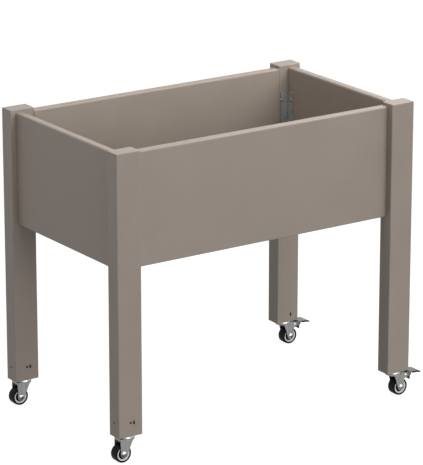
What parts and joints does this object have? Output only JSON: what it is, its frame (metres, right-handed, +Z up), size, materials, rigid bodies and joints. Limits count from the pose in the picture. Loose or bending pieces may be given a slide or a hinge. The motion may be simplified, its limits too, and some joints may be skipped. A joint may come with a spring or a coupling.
{
  "type": "rolling planter",
  "caption": "Raised rectangular planter box on tall corner legs, carried on small swivel casters; the pair at one end have foot brakes.",
  "frame": {"origin": "on the floor, under the middle of the overall box in X and Y", "axes": "+X along the long side toward the end with the brake casters; -Y is the long side seen in the picture; +Z up"},
  "size_m": [0.8605, 0.49, 0.723],
  "materials": {
    "resin_taupe": "fine satin, warm grey",
    "zinc_steel": "bright zinc plating",
    "grey_nylon": "smooth light grey",
    "tyre_black": "matt black",
    "black_plastic": "matt black"
  },
  "bodies": {
    "planter": {"front_wall": "resin_taupe", "rear_wall": "resin_taupe", "left_wall": "resin_taupe", "right_wall": "resin_taupe", "floor_panel": "resin_taupe", "front_ledge": "zinc_steel", "rear_ledge": "zinc_steel", "floor_bearers": "zinc_steel", "corner_brackets": "zinc_steel", "wall_screws": "zinc_steel", "ledge_screws": "zinc_steel", "foot_screws": "zinc_steel", "leg_front_left": "resin_taupe", "leg_cap_front_left": "resin_taupe", "foot_socket_front_left": "black_plastic", "caster_stem_front_left": "zinc_steel", "leg_front_right": "resin_taupe", "leg_cap_front_right": "resin_taupe", "foot_socket_front_right": "black_plastic", "caster_stem_front_right": "zinc_steel", "leg_rear_left": "resin_taupe", "leg_cap_rear_left": "resin_taupe", "foot_socket_rear_left": "black_plastic", "caster_stem_rear_left": "zinc_steel", "leg_rear_right": "resin_taupe", "leg_cap_rear_right": "resin_taupe", "foot_socket_rear_right": "black_plastic", "caster_stem_rear_right": "zinc_steel"},
    "swivel_front_left": {"fork_front_left": "zinc_steel", "ball_ring_front_left": "zinc_steel", "axle_front_left": "zinc_steel"},
    "wheel_front_left": {"tyre_front_left": "tyre_black", "wheel_core_front_left": "grey_nylon", "thread_guards_front_left": "black_plastic"},
    "swivel_front_right": {"fork_front_right": "zinc_steel", "ball_ring_front_right": "zinc_steel", "axle_front_right": "zinc_steel", "brake_pin_front_right": "zinc_steel"},
    "wheel_front_right": {"tyre_front_right": "tyre_black", "wheel_core_front_right": "grey_nylon", "thread_guards_front_right": "black_plastic"},
    "brake_front_right": {"brake_lever_front_right": "zinc_steel", "brake_shoe_front_right": "black_plastic", "pedal_pad_front_right": "black_plastic"},
    "swivel_rear_left": {"fork_rear_left": "zinc_steel", "ball_ring_rear_left": "zinc_steel", "axle_rear_left": "zinc_steel"},
    "wheel_rear_left": {"tyre_rear_left": "tyre_black", "wheel_core_rear_left": "grey_nylon", "thread_guards_rear_left": "black_plastic"},
    "swivel_rear_right": {"fork_rear_right": "zinc_steel", "ball_ring_rear_right": "zinc_steel", "axle_rear_right": "zinc_steel", "brake_pin_rear_right": "zinc_steel"},
    "wheel_rear_right": {"tyre_rear_right": "tyre_black", "wheel_core_rear_right": "grey_nylon", "thread_guards_rear_right": "black_plastic"},
    "brake_rear_right": {"brake_lever_rear_right": "zinc_steel", "brake_shoe_rear_right": "black_plastic", "pedal_pad_rear_right": "black_plastic"}
  },
  "joints": [
    {"name": "swivel_front_left", "type": "hinge", "parent": "planter", "child": "swivel_front_left", "pos_m": [-0.397, -0.225, 0.056], "axis": [0, 0, 1], "continuous": true},
    {"name": "roll_front_left", "type": "hinge", "parent": "swivel_front_left", "child": "wheel_front_left", "pos_m": [-0.411, -0.225, 0.021], "axis": [0, 1, 0], "continuous": true},
    {"name": "swivel_front_right", "type": "hinge", "parent": "planter", "child": "swivel_front_right", "pos_m": [0.358, -0.225, 0.056], "axis": [0, 0, 1], "continuous": true},
    {"name": "roll_front_right", "type": "hinge", "parent": "swivel_front_right", "child": "wheel_front_right", "pos_m": [0.372, -0.225, 0.021], "axis": [0, 1, 0], "continuous": true},
    {"name": "brake_front_right", "type": "hinge", "parent": "swivel_front_right", "child": "brake_front_right", "pos_m": [0.385, -0.225, 0.0495], "axis": [0, 1, 0], "range_deg": [0, 25]},
    {"name": "swivel_rear_left", "type": "hinge", "parent": "planter", "child": "swivel_rear_left", "pos_m": [-0.397, 0.225, 0.056], "axis": [0, 0, 1], "continuous": true},
    {"name": "roll_rear_left", "type": "hinge", "parent": "swivel_rear_left", "child": "wheel_rear_left", "pos_m": [-0.411, 0.225, 0.021], "axis": [0, 1, 0], "continuous": true},
    {"name": "swivel_rear_right", "type": "hinge", "parent": "planter", "child": "swivel_rear_right", "pos_m": [0.358, 0.225, 0.056], "axis": [0, 0, 1], "continuous": true},
    {"name": "roll_rear_right", "type": "hinge", "parent": "swivel_rear_right", "child": "wheel_rear_right", "pos_m": [0.372, 0.225, 0.021], "axis": [0, 1, 0], "continuous": true},
    {"name": "brake_rear_right", "type": "hinge", "parent": "swivel_rear_right", "child": "brake_rear_right", "pos_m": [0.385, 0.225, 0.0495], "axis": [0, 1, 0], "range_deg": [0, 25]}
  ]
}
